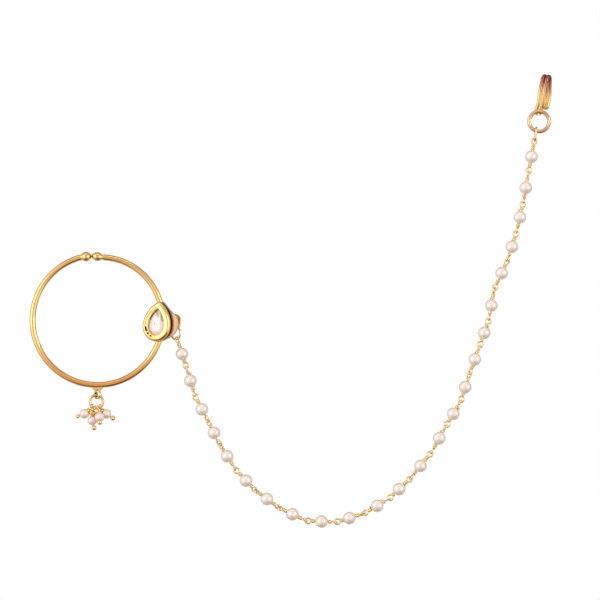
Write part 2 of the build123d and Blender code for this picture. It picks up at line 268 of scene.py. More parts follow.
# The white paper hangs behind the jewel: the metal and the stone mirror it there
behind_jewel = add_range(sky, parts.outputs["Y"], 0.78, 0.92)
mirrored = add_math(sky, "MAXIMUM", seen["Is Glossy Ray"], seen["Is Transmission Ray"])
mirrored_paper = add_math(sky, "MULTIPLY", mirrored, behind_jewel)
shown = add_math(sky, "MAXIMUM", seen["Is Camera Ray"], mirrored_paper)
backdrop = add_node(sky, "ShaderNodeMixShader")
for socket, source in (("Fac", shown), (1, lit.outputs[0]), (2, paper.outputs[0])):
    link(sky, source, backdrop.inputs[socket])
link(sky, backdrop.outputs[0], add_node(sky, "ShaderNodeOutputWorld").inputs["Surface"])


def add_softbox(name, place, aim, width, tall, power):
    """A rectangular area lamp at a place, turned to its aim."""
    lamp = bpy.data.lights.new(name, "AREA")
    lamp.shape = "RECTANGLE"
    lamp.size = width
    lamp.size_y = tall
    lamp.energy = power
    holder = bpy.data.objects.new(name, lamp)
    scene.collection.objects.link(holder)
    holder.location = place
    holder.rotation_euler = (Vector(aim) - Vector(place)).to_track_quat("-Z", "Y").to_euler()


JEWEL_MIDDLE = (0.0646, 0, -0.014)
add_softbox("softbox left", (-0.62, -0.55, 0.16), JEWEL_MIDDLE, 0.2, 0.5, 0.8)
add_softbox("softbox right", (0.78, -0.5, 0.14), JEWEL_MIDDLE, 0.14, 0.4, 0.8)
add_softbox("softbox above", (0.06, -0.3, 0.7), JEWEL_MIDDLE, 0.7, 0.25, 0.5)

# ---- Finishes -------------------------------------------------------------------------------------------


def new_group(name, inputs, outputs):
    """An empty shader node group with its sockets, and its ends."""
    group = bpy.data.node_groups.new(name, "ShaderNodeTree")
    for way, sockets in (("INPUT", inputs), ("OUTPUT", outputs)):
        for label, kind, value in sockets:
            socket = group.interface.new_socket(label, in_out=way, socket_type=kind)
            if value is not None:
                socket.default_value = value
    return group, group.nodes.new("NodeGroupInput"), group.nodes.new("NodeGroupOutput")


FLOAT, COLOUR = "NodeSocketFloat", "NodeSocketColor"


def object_place(tree):
    """Places on a piece, as its own coordinates."""
    return add_node(tree, "ShaderNodeTexCoord").outputs["Object"]


def add_noise(tree, place, scale, detail, roughness=0.5, distortion=0.0):
    """A cloudy value over places."""
    node = add_node(tree, "ShaderNodeTexNoise", inputs={"Scale": scale, "Detail": detail,
                                                        "Roughness": roughness, "Distortion": distortion})
    link(tree, place, node.inputs["Vector"])
    return node.outputs["Fac"]


def make_plating():
    """Worn gold plate, in patches of two tones with fine scratches: its colour, roughness and height."""
    group, given, result = new_group(
        "worn plating",
        [("Tone", COLOUR, (0.8, 0.5, 0.2, 1)), ("Deep Tone", COLOUR, (0.5, 0.3, 0.1, 1)),
         ("Patch Amount", FLOAT, 0.5), ("Roughness Low", FLOAT, 0.15), ("Roughness High", FLOAT, 0.3)],
        [("Colour", COLOUR, None), ("Roughness", FLOAT, None), ("Height", FLOAT, None)])
    place = object_place(group)
    patches = add_range(group, add_noise(group, place, 170.0, 2.0), 0.38, 0.72)
    stretched = add_node(group, "ShaderNodeMapping", inputs={"Scale": (1.0, 1.0, 0.25)})
    link(group, place, stretched.inputs["Vector"])
    scratches = add_noise(group, stretched.outputs["Vector"], 2600.0, 4.0, 0.7)
    amount = add_math(group, "MULTIPLY", patches, given.outputs["Patch Amount"])
    tone = add_mix(group, "MIX", amount, given.outputs["Tone"], given.outputs["Deep Tone"])
    rough = add_range(group, scratches, 0.35, 0.7, given.outputs["Roughness Low"],
                      given.outputs["Roughness High"])
    for source, name in ((tone, "Colour"), (rough, "Roughness"), (scratches, "Height")):
        link(group, source, result.inputs[name])
    return group


plating = make_plating()


def new_finish(name, sockets):
    """A material with some of its shader's own sockets set, its node tree and its shader."""
    material = bpy.data.materials.new(name)
    material.use_nodes = True
    shader = material.node_tree.nodes["Principled BSDF"]
    for socket, value in sockets.items():
        shader.inputs[socket].default_value = value
    return material, material.node_tree, shader


def lay_over(tree, shader, group, values, strength, distance):
    """A node group with its own values, which gives a shader its colour, roughness and bumps."""
    skin = add_node(tree, "ShaderNodeGroup", node_tree=group, inputs=values)
    bumps = add_node(tree, "ShaderNodeBump", inputs={"Strength": strength, "Distance": distance})
    link(tree, skin.outputs["Colour"], shader.inputs["Base Color"])
    link(tree, skin.outputs["Roughness"], shader.inputs["Roughness"])
    link(tree, skin.outputs["Height"], bumps.inputs["Height"])
    link(tree, bumps.outputs["Normal"], shader.inputs["Normal"])


def make_gold(name, tone, deep_tone, patch_amount=0.4, rough=(0.14, 0.22), bump=0.02, metallic=1.0):
    """A plated gold finish in two tones."""
    material, tree, shader = new_finish(name, {"Metallic": metallic})
    values = {"Tone": (*tone, 1), "Deep Tone": (*deep_tone, 1), "Patch Amount": patch_amount,
              "Roughness Low": rough[0], "Roughness High": rough[1]}
    lay_over(tree, shader, plating, values, bump, 0.00004)
    return material


def add_band_tint(material, axis, low, high, tint):
    """Mixes a tint over a finish between two places along an axis."""
    tree = material.node_tree
    shader = tree.nodes["Principled BSDF"]
    colour = shader.inputs["Base Color"].links[0].from_socket
    split = add_node(tree, "ShaderNodeSeparateXYZ")
    link(tree, object_place(tree), split.inputs[0])
    band = add_range(tree, split.outputs[axis], low * MM, high * MM, interpolation_type="SMOOTHSTEP")
    link(tree, add_mix(tree, "MIX", band, colour, tint), shader.inputs["Base Color"])


hoop_gold = make_gold("hoop gold", (0.96, 0.66, 0.27), (0.92, 0.58, 0.20), 0.4, (0.08, 0.13), 0.01)
# Painted warm reflection, more orange towards the hoop's bottom.
add_band_tint(hoop_gold, "Z", -24, -38, (0.93, 0.52, 0.18))
wire_gold = make_gold("wire gold", (0.96, 0.78, 0.42), (0.90, 0.64, 0.28), 0.4, (0.14, 0.2))
ring_gold = make_gold("end ring gold", (0.84, 0.60, 0.34), (0.68, 0.44, 0.24), 0.5, (0.08, 0.13))
hook_gold = make_gold("hook gold", (0.95, 0.68, 0.28), (0.88, 0.56, 0.2), 0.4, (0.2, 0.28))
add_band_tint(hook_gold, "Z", 48.8, 54.6, (0.42, 0.15, 0.10))
frame_gold = make_gold("setting gold", (0.96, 0.74, 0.34), (0.92, 0.62, 0.22), 0.5, (0.22, 0.28), 0.01)
# Painted warm reflection, more orange towards the frame's bottom.
add_band_tint(frame_gold, "Z", -22.8, -25.8, (0.92, 0.55, 0.2))
rose_gold = make_gold("back plate gold", (0.80, 0.54, 0.34), (0.62, 0.40, 0.31), 0.6, (0.26, 0.36), 0.02)
add_band_tint(rose_gold, "Z", -19.5, -16.5, (0.60, 0.42, 0.37))
# Dark brown painted into hollows, grooves and contacts as shade.
shade_painted_gold = make_gold("painted recess shade", (0.15, 0.065, 0.012), (0.08, 0.03, 0.006), 0.7, (0.45, 0.6), 0.1,
                        0.9)
# A dark gold painted as shade in the bezel's upper left corner.
corner_shade_gold = make_gold("painted corner shade", (0.50, 0.28, 0.06), (0.32, 0.16, 0.03), 0.6, (0.3, 0.4), 0.02)
charm_gold = make_gold("charm gold", (0.95, 0.66, 0.27), (0.88, 0.52, 0.16), 0.5, (0.12, 0.18))


def make_pearl_lustre():
    """Soft cream and rose clouds over a set of pearls, with a fine grain: colour, roughness and height."""
    group, given, result = new_group(
        "pearl lustre",
        [("Cream", COLOUR, (0.9, 0.84, 0.77, 1)), ("Rose", COLOUR, (0.9, 0.76, 0.7, 1)),
         ("Pale", COLOUR, (0.9, 0.88, 0.84, 1))],
        [("Colour", COLOUR, None), ("Roughness", FLOAT, None), ("Height", FLOAT, None)])
    place = object_place(group)
    rosy = add_range(group, add_noise(group, place, 110.0, 1.0), 0.35, 0.65)
    cloud = add_noise(group, place, 420.0, 3.0, distortion=0.6)
    bead = add_mix(group, "MIX", rosy, given.outputs["Cream"], given.outputs["Rose"])
    clouded = add_mix(group, "MIX", add_range(group, cloud, 0.45, 0.8, 0.0, 0.6), bead, given.outputs["Pale"])
    rough = add_range(group, cloud, 0.3, 0.7, 0.22, 0.36)
    grain = add_noise(group, place, 3200.0, 2.0)
    for source, name in ((clouded, "Colour"), (rough, "Roughness"), (grain, "Height")):
        link(group, source, result.inputs[name])
    return group


lustre = make_pearl_lustre()


def make_pearl(name, cream, rose, pale):
    """A pearl's skin: lustre under a clear coat."""
    material, tree, shader = new_finish(name, {
        "Metallic": 0.22, "Coat Weight": 0.8, "Coat Roughness": 0.1, "Specular IOR Level": 0.6,
        "Sheen Weight": 0.25, "Sheen Roughness": 0.35, "Sheen Tint": (0.95, 0.86, 0.84, 1)})
    lay_over(tree, shader, lustre, {"Cream": (*cream, 1), "Rose": (*rose, 1), "Pale": (*pale, 1)}, 0.015,
             0.00003)
    return material


chain_pearl_skin = make_pearl("chain pearl", (0.96, 0.91, 0.85), (0.96, 0.86, 0.82), (0.97, 0.95, 0.93))
charm_pearl_skin = make_pearl("charm pearl", (0.97, 0.91, 0.88), (0.97, 0.82, 0.80), (0.98, 0.96, 0.95))


def make_stone():
    """A pale foiled stone, not see-through: milky, rosy below, greyer to its left as painted shade, with a
    painted grey shade spot, a painted white highlight on a ridge and painted dark reflections on the facets
    to its tip.
    """
    material, tree, shader = new_finish("foiled stone", {"IOR": 1.6, "Coat Weight": 0.5,
                                                         "Coat Roughness": 0.06})
    place = object_place(tree)
    cloud = add_noise(tree, place, 420.0, 2.0, distortion=0.6)
    off = add_node(tree, "ShaderNodeVectorMath", operation="SUBTRACT", inputs={1: SETTING_BACK * MM})
    link(tree, place, off.inputs[0])

    def along(axis):
        """Distance along an axis of the setting, in millimetres."""
        dot = add_node(tree, "ShaderNodeVectorMath", operation="DOT_PRODUCT", inputs={1: axis / MM})
        link(tree, off.outputs[0], dot.inputs[0])
        return dot.outputs["Value"]

    def band(source, *stops):
        """A mask that goes through places and values along a distance."""
        low, high = stops[0][0], stops[-1][0]
        shares = [((stop - low) / (high - low), value) for stop, value in stops]
        return add_ramp(tree, add_range(tree, source, low, high), greys(shares))

    def over(colour, mask, tint):
        """A tint laid over a colour through a mask."""
        return add_mix(tree, "MIX", mask, colour, tint)

    x, y = along(setting_across), along(setting_rise)
    lean = add_node(tree, "ShaderNodeMath", operation="MULTIPLY_ADD", inputs={1: 0.3})
    link(tree, y, lean.inputs[0])
    link(tree, x, lean.inputs[2])
    # Distance from the ridge, which leans to the right on its way down from the tip
    from_ridge = add_math(tree, "SUBTRACT", lean.outputs[0], 1.8)
    colour = add_ramp(tree, cloud, [(0.3, (0.93, 0.88, 0.87)), (0.7, (0.97, 0.94, 0.93))])
    # Painted shade: greyer towards the left.
    colour = over(colour, band(x, (-2.4, 0.5), (0.2, 0.0)), (0.82, 0.74, 0.74))
    colour = over(colour, band(y, (-2.6, 0.7), (-0.8, 0)), (0.96, 0.74, 0.86))
    left_facet_dark_reflection = (band(from_ridge, (-1.4, 0), (-0.95, 1), (-0.35, 0.8), (-0.15, 0)),
                  band(y, (2.5, 0), (3.4, 0.9), (4.4, 0.9), (4.9, 0.3)))
    right_facet_dark_reflection = (band(from_ridge, (0.15, 0), (0.4, 1), (0.8, 1), (1.1, 0)),
                   band(y, (1.4, 0), (2.3, 0.8), (3.8, 0.9), (4.6, 0.3)))
    spot = (band(x, (-0.85, 0), (-0.5, 1), (-0.2, 0)), band(y, (0.1, 0), (0.8, 1), (1.5, 0)))
    ridge = (band(from_ridge, (-0.22, 0), (-0.1, 1), (0.1, 1), (0.22, 0)),
             band(y, (1.2, 0), (2.6, 1), (5.2, 1)))
    # Painted light: dark reflections on the facets either side of the tip, a grey shade spot low on the left,
    # and a white highlight along the ridge.
    for masks, tint in ((left_facet_dark_reflection, (0.40, 0.35, 0.36)), (right_facet_dark_reflection, (0.40, 0.35, 0.36)),
                        (spot, (0.36, 0.33, 0.30)), (ridge, (0.97, 0.96, 0.96))):
        colour = over(colour, add_math(tree, "MULTIPLY", *masks), tint)
    link(tree, colour, shader.inputs["Base Color"])
    link(tree, add_range(tree, cloud, 0.0, 1.0, 0.16, 0.3), shader.inputs["Roughness"])
    return material


stone_glass = make_stone()


def make_paper():
    """The studio floor: pale matt card."""
    material, tree, shader = new_finish("floor card", {"Roughness": 0.8})
    fibre = add_noise(tree, object_place(tree), 300.0, 4.0)
    link(tree, add_mix(tree, "MIX", fibre, (0.90, 0.895, 0.89), (0.94, 0.935, 0.93)),
         shader.inputs["Base Color"])
    return material


# ---- Tools of the bench ---------------------------------------------------------------------------------


def let_go():
    """Nothing selected, as before each new primitive."""
    if bpy.context.object and bpy.context.object.mode != "OBJECT":
        bpy.ops.object.mode_set(mode="OBJECT")
    bpy.ops.object.select_all(action="DESELECT")


def pick(piece):
    """One piece selected and active."""
    let_go()
    piece.select_set(True)
    bpy.context.view_layer.objects.active = piece


def facing(x_way, z_way):
    """The turn that lays X along x_way and Z along z_way."""
    z = z_way.normalized()
    x = (x_way - z * x_way.dot(z)).normalized()
    return Matrix((x, z.cross(x), z)).transposed()


def add_circle(name, centre, normal, start, radius, sides):
    """An open circle of wire section, its first point towards start."""
    let_go()
    turn = facing(start, normal).to_euler()
    bpy.ops.mesh.primitive_circle_add(vertices=sides, radius=radius * MM, location=centre * MM, rotation=turn)
    piece = bpy.context.object
    piece.name = piece.data.name = name
    bpy.ops.object.transform_apply(location=True, rotation=True, scale=True)
    return piece


def open_edit(piece, kind="VERT"):
    """One piece opened for editing its points, edges or faces."""
    pick(piece)
    bpy.ops.object.mode_set(mode="EDIT")
    bpy.ops.mesh.select_mode(type=kind)


def select_rims():
    """Selects the edges round the open ends."""
    bpy.ops.mesh.select_non_manifold(extend=False, use_wire=False, use_boundary=True, use_multi_face=False,
                                     use_non_contiguous=False, use_verts=False)


def close_up(piece):
    """Fills the open ends, turns the faces outwards and leaves edit mode."""
    bpy.ops.mesh.select_mode(type="EDGE")
    bpy.ops.mesh.select_all(action="DESELECT")
    select_rims()
    bpy.ops.mesh.edge_face_add()
    bpy.ops.mesh.select_all(action="SELECT")
    bpy.ops.mesh.normals_make_consistent(inside=False)
    bpy.ops.object.mode_set(mode="OBJECT")


def smooth(piece, angle=40):
    """Shades edges softer than the angle smooth."""
    pick(piece)
    bpy.ops.object.shade_smooth_by_angle(angle=radians(angle))


def put_on(piece, *finishes):
    """Gives a piece its finishes, the first one everywhere."""
    piece.data.materials.clear()
    for finish in finishes:
        piece.data.materials.append(finish)


def apply_modifiers(piece):
    """Turns a piece's modifiers into its mesh."""
    pick(piece)
    for modifier in list(piece.modifiers):
        bpy.ops.object.modifier_apply(modifier=modifier.name)


def join(name, pieces):
    """Pieces of one metal joined to one."""
    let_go()
    for piece in pieces:
        piece.select_set(True)
    bpy.context.view_layer.objects.active = pieces[0]
    if len(pieces) > 1:
        bpy.ops.object.join()
    whole = bpy.context.object
    whole.name = whole.data.name = name
    return whole


def seat(piece, slot, *nodes):
    """The piece rides on the jewel and stands for its nodes, which are hidden; its slot is not used."""
    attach(piece, "root")
    if nodes:
        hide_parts(*nodes)


def add_ring(name, centre, start, normal, radius, wire, opening=2.0, sides=20, steps=96, flat=1.0):
    """A ring of round wire, spun from its seam; flat scales the wire along the ring's normal."""
    along = normal.cross(start).normalized()
    piece = add_circle(name, centre + start * radius, along, start, wire / 2, sides)
    if flat != 1.0:
        for vertex in piece.data.vertices:
            off = (vertex.co - centre * MM).dot(normal)
            vertex.co += normal * off * (flat - 1)
    open_edit(piece)
    bpy.ops.mesh.select_all(action="SELECT")
    bpy.ops.mesh.spin(steps=steps, angle=radians(360 - opening), center=centre * MM, axis=-normal)
    if opening == 0:
        bpy.ops.mesh.select_all(action="SELECT")
        bpy.ops.mesh.remove_doubles(threshold=0.000002)
        bpy.ops.mesh.normals_make_consistent(inside=False)
        bpy.ops.object.mode_set(mode="OBJECT")
    else:
        close_up(piece)
    smooth(piece)
    return piece


def bend_wire(name, points, wire, order=4, resolution=4, sides=3, closed=False, thinning=()):
    """A round wire drawn along a smooth line near the points; thinning lists its ends' share of the wire."""
    let_go()
    bpy.ops.curve.primitive_nurbs_path_add(location=(0, 0, 0))
    piece = bpy.context.object
    line = piece.data
    line.splines.clear()
    spline = line.splines.new("NURBS")
    spline.points.add(len(points) - 1)
    for knot, point in zip(spline.points, points):
        knot.co = (*(point * MM), 1)
    for number, share in enumerate(thinning):
        spline.points[number].radius = spline.points[-1 - number].radius = share
    spline.order_u = order
    spline.use_cyclic_u = closed
    spline.use_endpoint_u = not closed
    spline.resolution_u = resolution
    line.dimensions = "3D"
    line.bevel_depth = wire / 2 * MM
    line.bevel_resolution = sides
    line.use_fill_caps = True
    bpy.ops.object.convert(target="MESH")
    piece = bpy.context.object
    piece.name = piece.data.name = name
    smooth(piece, 50)
    return piece


def turn_up(name, foot, axis, rows, sides=32, levels=1):
    """A piece turned on an axis: rows of distance along it and radius."""
    start = axis.cross(FRONT) if abs(axis.dot(FRONT)) < 0.9 else axis.cross(UP)
    piece = add_circle(name, foot + axis * rows[0][0], axis, start, rows[0][1], sides)
    open_edit(piece)
    bpy.ops.mesh.select_all(action="SELECT")
    for (before, wide), (after, narrow) in zip(rows, rows[1:]):
        bpy.ops.mesh.extrude_region_move(
            TRANSFORM_OT_translate={"value": axis * (after - before) * MM})
        bpy.ops.transform.resize(value=(narrow / wide,) * 3, center_override=(foot + axis * after) * MM)
    close_up(piece)
    if levels:
        rounding = piece.modifiers.new("rounding", "SUBSURF")
        rounding.levels = rounding.render_levels = levels
        apply_modifiers(piece)
    smooth(piece, 60)
    return piece


def tear_outline(inset, count):
    """Points round the teardrop drawn in by inset, from its tip round by its left side, evenly spaced."""
    reach = TEAR_SIDE - TEAR_RADIUS
    side = TEAR_SIDE - inset
    swing = acos(reach / side)
    small = TEAR_RADIUS - inset
    lengths = (side * swing, small * pi, side * swing)
    whole = sum(lengths)
    points = []
    for number in range(count):
        run = whole * number / count
        if run < lengths[0]:
            angle = pi - swing + run / side
            points.append((reach + side * cos(angle), side * sin(angle)))
        elif run < lengths[0] + lengths[1]:
            angle = pi + (run - lengths[0]) / small
            points.append((small * cos(angle), small * sin(angle)))
        else:
            angle = (run - lengths[0] - lengths[1]) / side
            points.append((-reach + side * cos(angle), side * sin(angle)))
    return points


def add_tear(name, rows, count=96, dip=None):
    """A teardrop piece built up by extruding its outline through rows of inset and height."""
    piece = add_circle(name, SETTING_BACK, setting_front, setting_across, 1, count)
    open_edit(piece)
    bpy.ops.mesh.select_all(action="SELECT")
    for _ in rows[1:]:
        bpy.ops.mesh.extrude_region_move()
    bpy.ops.object.mode_set(mode="OBJECT")
    for layer, (inset, rise) in enumerate(rows):
        for number, (x, y) in enumerate(tear_outline(inset, count)):
            lift = rise - (dip(layer, x, y) if dip else 0)
            place = SETTING_BACK + setting_across * x + setting_rise * y + setting_front * lift
            piece.data.vertices[layer * count + number].co = place * MM
    open_edit(piece)
    close_up(piece)
    return piece


# ---- Hoop wire and its two ball tips --------------------------------------------------------------------

bent_centre = HOOP_CENTRE + (HOOP_RADIUS - BENT_RADIUS) * in_front_plane(BENT_FROM)
left_angle = degrees(acos((-TIP_LENGTH - HOOP_CENTRE.x) / HOOP_RADIUS))
right_angle = degrees(acos((TIP_LENGTH - bent_centre.x) / BENT_RADIUS))
hoop_foot = HOOP_CENTRE - UP * HOOP_RADIUS


def make_hoop():
    """The hoop's wire, spun in two arcs, with its two ball tips."""
    left_start = HOOP_CENTRE + in_front_plane(left_angle) * HOOP_RADIUS
    right_start = bent_centre + in_front_plane(right_angle) * BENT_RADIUS
    wire = add_circle("hoop wire", left_start, in_front_plane(left_angle + 90), FRONT, HOOP_WIRE / 2, 32)
    open_edit(wire)
    bpy.ops.mesh.select_all(action="SELECT")
    bpy.ops.mesh.spin(steps=220, angle=radians(360 + BENT_FROM - left_angle), center=HOOP_CENTRE * MM,
                      axis=-FRONT)
    bpy.ops.mesh.spin(steps=60, angle=radians(right_angle - BENT_FROM), center=bent_centre * MM, axis=-FRONT)
    close_up(wire)
    smooth(wire)
    tips = []
    # Each tip: distance from its nose, and radius
    left_rows = [(0.0, 0.16), (0.01, 0.3), (0.06, 0.42), (0.36, 0.76), (0.88, 1.32), (1.6, 1.62),
                 (2.35, 1.44), (2.9, 1.06), (3.2, 0.88), (3.7, 0.88), (3.95, 0.9)]
    right_rows = [(0.0, 0.16), (0.01, 0.3), (0.06, 0.44), (0.4, 0.86), (0.95, 1.3), (1.74, 1.46), (2.5, 1.34),
                  (2.95, 1.0), (3.25, 0.72), (3.6, 0.72), (3.85, 0.86)]
    for side, start, rows in ((-1, left_start, left_rows), (1, right_start, right_rows)):
        nose = Vector((side * NOSE, 0, 0.1))
        tips.append(turn_up("ball tip", nose, (start - nose).normalized(), rows))
    hoop = join("nath_hoop", [wire] + tips)
    put_on(hoop, hoop_gold, shade_painted_gold)
    # Painted shade on the noses where the two tips meet.
    for face in hoop.data.polygons:
        if abs(face.center.x) < 0.3 * MM and abs(face.center.z) < 1.2 * MM:
            face.material_index = 1
    return hoop


seat(make_hoop(), "gold", "hoop")

# ---- Teardrop setting -----------------------------------------------------------------------------------

CORE_TOP = 1.9
# Frame section: inset from the outline, and height above the setting's back
FRAME_ROWS = [
    (0.75, CORE_TOP), (0.2, CORE_TOP), (0.04, CORE_TOP + 0.1), (0.0, CORE_TOP + 0.25),
    (0.04, CORE_TOP + 0.55), (0.16, CORE_TOP + 0.85), (0.36, CORE_TOP + 1.12), (0.62, CORE_TOP + 1.31),
    (0.9, CORE_TOP + 1.36), (1.12, CORE_TOP + 1.27), (1.18, CORE_TOP + 1.2), (1.62, CORE_TOP + 1.2),
    (1.68, CORE_TOP + 1.25), (1.8, CORE_TOP + 1.23), (1.94, CORE_TOP + 1.05), (2.04, CORE_TOP + 0.62),
    (2.09, CORE_TOP + 0.3),
]
# How far the frame's layers at the channel move: at the left, where it is sunk, and at the right, where it
# is flush
CHANNEL_LAYERS = {9: (0.0, 0.07), 10: (-0.2, 0.13), 11: (-0.2, 0.07), 12: (0.0, 0.02)}
# Slots in the channel at the lower left, painted dark inside as shade: start and end of each, in degrees
# round the middle
SLOTS = ((188, 214), (221, 232), (243, 254))
SLOT_DEPTH = 0.55
# The corner of the bezel's inner wall that is painted with shade, in the same degrees
SHADED_CORNER = (94, 142)


def channel_dip(layer, x, y):
    """The channel sinks in on the left and dies out towards the right and the tip."""
    if layer not in CHANNEL_LAYERS:
        return 0
    sunk = min(max((0.8 - x) / 2.4, 0), 1) * min(max((6.5 - y) / 3.0, 0), 1)
    at_left, at_right = CHANNEL_LAYERS[layer]
    return -(at_left * sunk + at_right * (1 - sunk))


def make_frame():
    """The raised frame: a rolled rim, a channel with three pockets painted dark inside as shade, and a bezel
    to the stone.
    """
    setting = add_tear("setting_frame", FRAME_ROWS, 144, dip=channel_dip)
    put_on(setting, frame_gold, shade_painted_gold, corner_shade_gold)
    open_edit(setting, "FACE")
    bpy.ops.mesh.select_all(action="DESELECT")
    bpy.ops.object.mode_set(mode="OBJECT")
    for face in setting.data.polygons:
        off = face.center / MM - SETTING_BACK
        x, y, lift = off.dot(setting_across), off.dot(setting_rise), off.dot(setting_front)
        around = degrees(atan2(y, x)) % 360
        span = (x * x + y * y) ** 0.5
        in_channel = 3.02 < span < 3.5 and lift > CORE_TOP + 0.8
        face.select = in_channel and any(low <= around <= high for low, high in SLOTS)
        # Painted shade on the bezel's inner wall in the corner at the upper left
        inward = face.normal.dot(setting_across * x + setting_rise * y) < 0
        leaning = face.normal.dot(setting_front) < 0.6
        if inward and leaning and lift > CORE_TOP + 0.4 and SHADED_CORNER[0] < around < SHADED_CORNER[1]:
            face.material_index = 2
    open_edit(setting, "FACE")
    bpy.ops.mesh.extrude_region_move(TRANSFORM_OT_translate={"value": setting_front * -SLOT_DEPTH * MM})
    # The pockets and the faces round them get the painted shade.
    bpy.ops.mesh.select_more()
    bpy.context.object.active_material_index = 1
    bpy.ops.object.material_slot_assign()
    bpy.ops.mesh.select_all(action="DESELECT")
    bpy.ops.object.mode_set(mode="OBJECT")
    smooth(setting, 35)
    return setting


def make_plate():
    """The back plate, drawn out in a wing to the side eyelet, and the sunk core before it; the core and the
    plate's face under it are painted dark as the groove's shade.
    """
    rows = [(0.2, 0.0), (0.0, 0.06), (-0.06, 0.2), (-0.06, 0.42), (0.0, 0.55), (0.12, 0.6), (0.22, 0.6)]
    plate = add_tear("back_plate", rows, 96)
    for vertex in list(plate.data.vertices)[:6 * 96]:
        off = vertex.co / MM - SETTING_BACK
        x, y = off.dot(setting_across), off.dot(setting_rise)
        away = degrees(atan2(y, x)) - WING_ANGLE
        away = min(abs(away) * 90 / WING_SPREADS[away > 0], 90)
        out = (setting_across * x + setting_rise * y).normalized()
        vertex.co += out * WING_REACH * cos(radians(away)) ** 2 * MM
    put_on(plate, rose_gold, shade_painted_gold)
    # The plate's face under the core gets painted shade.
    for face in plate.data.polygons:
        off = face.center / MM - SETTING_BACK
        if off.dot(setting_front) > 0.59 and len(face.vertices) > 4:
            face.material_index = 1
    smooth(plate, 35)
    core = add_tear("setting_core", [(0.6, 0.4), (0.66, 1.1), (0.6, CORE_TOP + 0.05)], 96)
    smooth(core, 35)
    # The whole core is painted dark as the groove's shade.
    put_on(core, shade_painted_gold)
    return plate, core


def make_stone_piece():
    """The teardrop stone: a girdle, two rows of facets and a table; the ridge to the tip is a painted
    highlight in its finish.
    """
    rows = [(2.12, CORE_TOP + 0.07), (2.12, CORE_TOP + 0.42), (2.55, CORE_TOP + 0.8), (3.2, CORE_TOP + 0.97)]
    gem = add_tear("teardrop_stone", rows, 22)
    put_on(gem, stone_glass)
    return gem


for piece, slot, node in [(make_frame(), "gold", "hoop"), *[(p, "gold", "hoop") for p in make_plate()],
                          (make_stone_piece(), "stone", "stone")]:
    seat(piece, slot, node)

# ---- Side eyelet, charm base and their rings ------------------------------------------------------------

SIDE_EYE_RADIUS, SIDE_EYE_WIRE, SIDE_EYE_BREADTH = 2.36, 0.7, 1.8
SIDE_RING_RADIUS, SIDE_RING_WIRE = 2.1, 0.65
# From the eyelet's middle down to the top of the ring's middle line
SIDE_RING_DROP = 1.405
side_axis = flat_turned(SIDE_EYE_TURN)
side_eyelet = add_ring("side_eyelet", SIDE_EYE, UP, side_axis, SIDE_EYE_RADIUS - SIDE_EYE_WIRE / 2,
                       SIDE_EYE_WIRE, 0, 24, 72, SIDE_EYE_BREADTH)
put_on(side_eyelet, frame_gold, shade_painted_gold)
# Painted shade inside the eyelet's hole.
for face in side_eyelet.data.polygons:
    off = face.center / MM - SIDE_EYE
    if (off - side_axis * off.dot(side_axis)).length < 1.92 and off.dot(side_axis) < 0.05:
        face.material_index = 1
seat(side_eyelet, "gold", "hoop")

side_ring_out = flat_turned(SIDE_RING_TURN)
side_ring_centre = SIDE_EYE - UP * SIDE_RING_DROP - UP * SIDE_RING_RADIUS
side_face = side_ring_out.cross(UP)
side_ring = add_ring("side_ring", side_ring_centre, -side_ring_out, side_face, SIDE_RING_RADIUS,
                     SIDE_RING_WIRE)
put_on(side_ring, wire_gold)
seat(side_ring, "gold", "side_jump_ring")

# The base's outline: sideways and height from the hoop's lowest point
BASE_OUTLINE = [(0, -0.2), (-2.2, -0.45), (-1.8, -0.95), (-1.3, -1.45), (-0.98, -1.9), (-0.8, -2.3),
                (0, -2.4), (0.8, -2.3), (0.98, -1.9), (1.3, -1.45), (1.8, -0.95), (2.2, -0.45)]
# Its layers: depth and share of breadth
BASE_LAYERS = [(-0.62, 0.86), (-0.62, 0.97), (-0.45, 1.0), (0.45, 1.0), (0.62, 0.9)]
CHARM_EYE_DROP, CHARM_EYE_RADIUS, CHARM_EYE_WIRE, CHARM_EYE_BREADTH = 2.76, 1.08, 0.82, 1.5
# The eyelet is drawn this much lower than the place that its ring hangs from
CHARM_EYE_SAG = 0.2
CHARM_RING_RADIUS, CHARM_RING_WIRE, CHARM_RING_SWING = 2.02, 0.84, 0.34
# From the eyelet's place down to the top of the ring's middle line
CHARM_RING_DROP = 0.41
CHARM_PEARL_RADIUS = 1.5
charm_eye = hoop_foot - UP * CHARM_EYE_DROP
charm_face = flat_turned(-CHARM_EYE_TURN)


